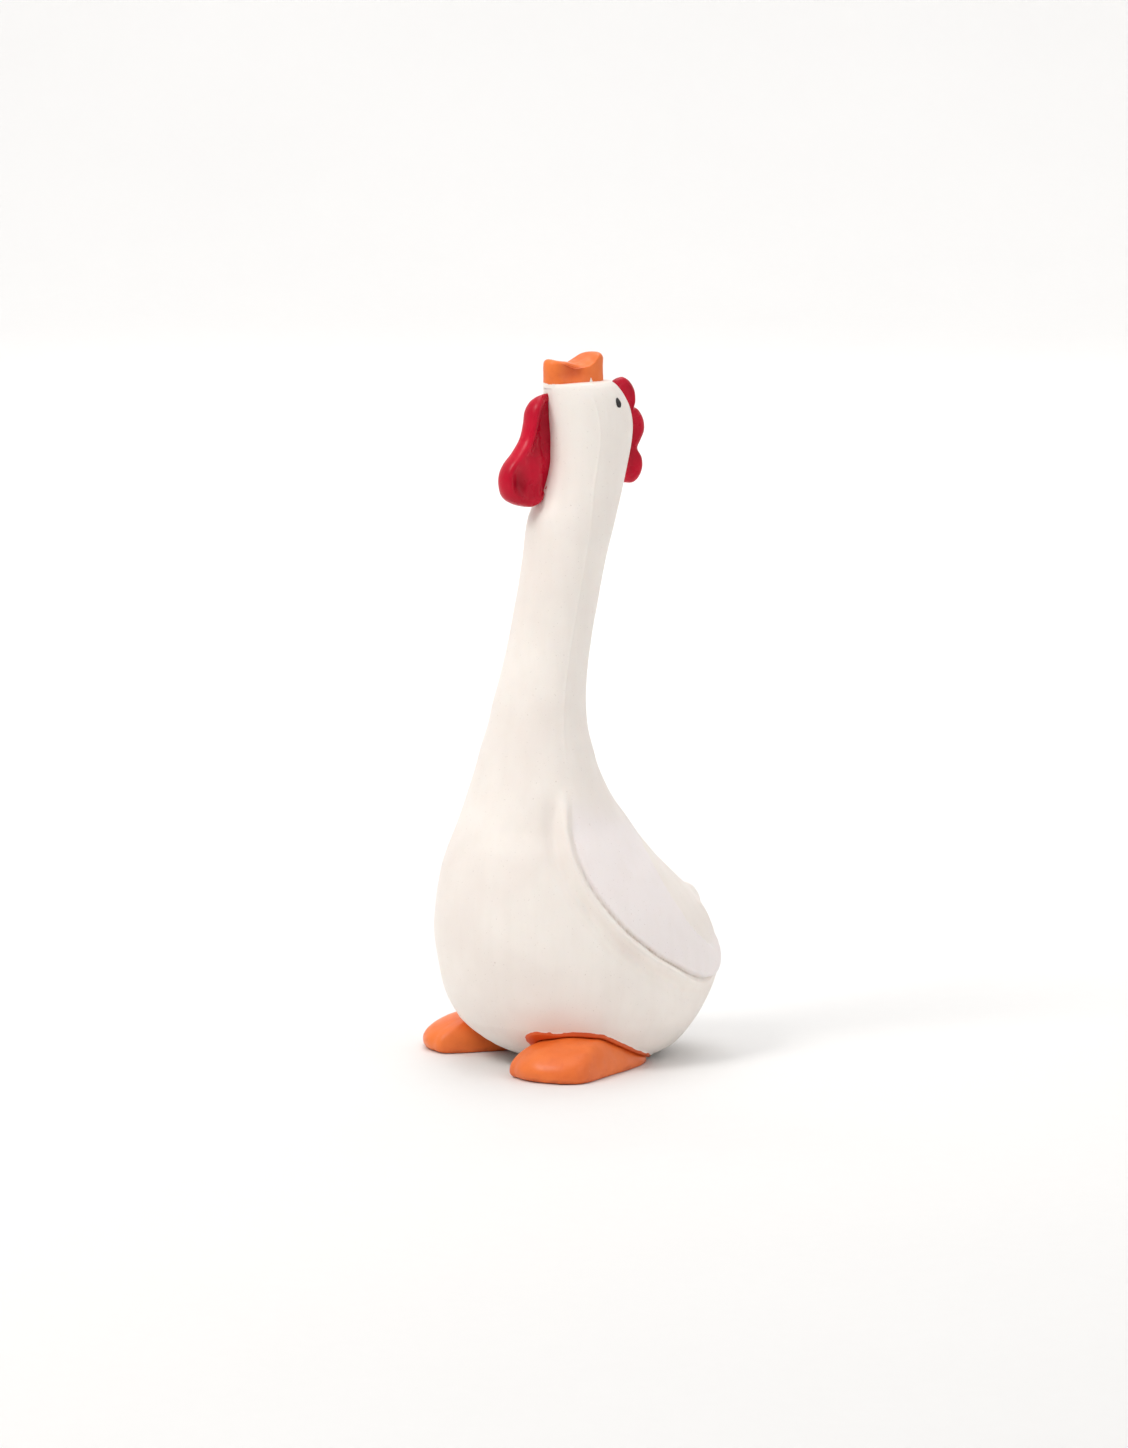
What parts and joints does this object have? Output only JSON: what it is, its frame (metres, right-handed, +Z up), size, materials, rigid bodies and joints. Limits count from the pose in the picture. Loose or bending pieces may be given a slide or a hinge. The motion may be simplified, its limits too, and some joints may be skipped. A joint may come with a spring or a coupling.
{
  "type": "rubber chicken squeeze toy",
  "caption": "Standing hollow latex rubber chicken with gaping beak, flexing neck, comb and wattle, squeezable sides and a reed squeaker in its base.",
  "frame": {"origin": "on the floor plane under the middle of the toy's bounding box", "axes": "+Z up along the neck, -Y the way the chicken's breast faces, +X its left side"},
  "size_m": [0.0952, 0.1021, 0.2399],
  "materials": {
    "white_latex": "satin off-white natural latex",
    "orange_paint": "hand-painted orange on latex, satin",
    "red_paint": "hand-painted deep red on latex, satin",
    "black_paint": "gloss black dab of paint",
    "squeaker_plastic": "moulded white polyethylene",
    "reed_film": "amber polyester film"
  },
  "bodies": {
    "torso": {"torso_shell": "white_latex", "tail": "white_latex", "left_foot": "orange_paint", "right_foot": "orange_paint", "squeaker_housing": "squeaker_plastic", "squeaker_cap": "squeaker_plastic", "reed_tube": "squeaker_plastic", "reed_collar": "squeaker_plastic"},
    "head": {"head_shell": "white_latex", "lower_beak": "orange_paint", "upper_beak": "orange_paint", "left_eye": "black_paint", "right_eye": "black_paint"},
    "comb": {"comb": "red_paint"},
    "wattle": {"wattle": "red_paint"},
    "left_wing": {"left_wing": "white_latex"},
    "right_wing": {"right_wing": "white_latex"},
    "reed": {"reed": "reed_film"}
  },
  "joints": [
    {"name": "neck_bend", "type": "hinge", "parent": "torso", "child": "head", "pos_m": [0, -0.0111, 0.142], "axis": [1, 0, 0], "range_deg": [-20, 30], "stiffness_Nm_per_rad": 0.45},
    {"name": "comb_flex", "type": "hinge", "parent": "head", "child": "comb", "pos_m": [0, 0.0185, 0.208], "axis": [0, 0, 1], "range_deg": [-12, 12], "stiffness_Nm_per_rad": 0.02},
    {"name": "wattle_flex", "type": "hinge", "parent": "head", "child": "wattle", "pos_m": [0, -0.0138, 0.208], "axis": [0, 0.1, 0.995], "range_deg": [-10, 10], "stiffness_Nm_per_rad": 0.03},
    {"name": "left_squeeze", "type": "slide", "parent": "torso", "child": "left_wing", "axis": [-1, 0, 0], "range_m": [0, 0.008], "stiffness_N_per_m": 900},
    {"name": "right_squeeze", "type": "slide", "parent": "torso", "child": "right_wing", "axis": [1, 0, 0], "range_m": [0, 0.008], "stiffness_N_per_m": 900},
    {"name": "reed_flutter", "type": "hinge", "parent": "torso", "child": "reed", "pos_m": [0, -0.00137, 0.006], "axis": [1, 0, 0], "range_deg": [0, 3], "stiffness_Nm_per_rad": 0.0002}
  ],
  "couplings": [
    {"joint": "right_squeeze", "follows": "left_squeeze", "ratio": 1}
  ]
}
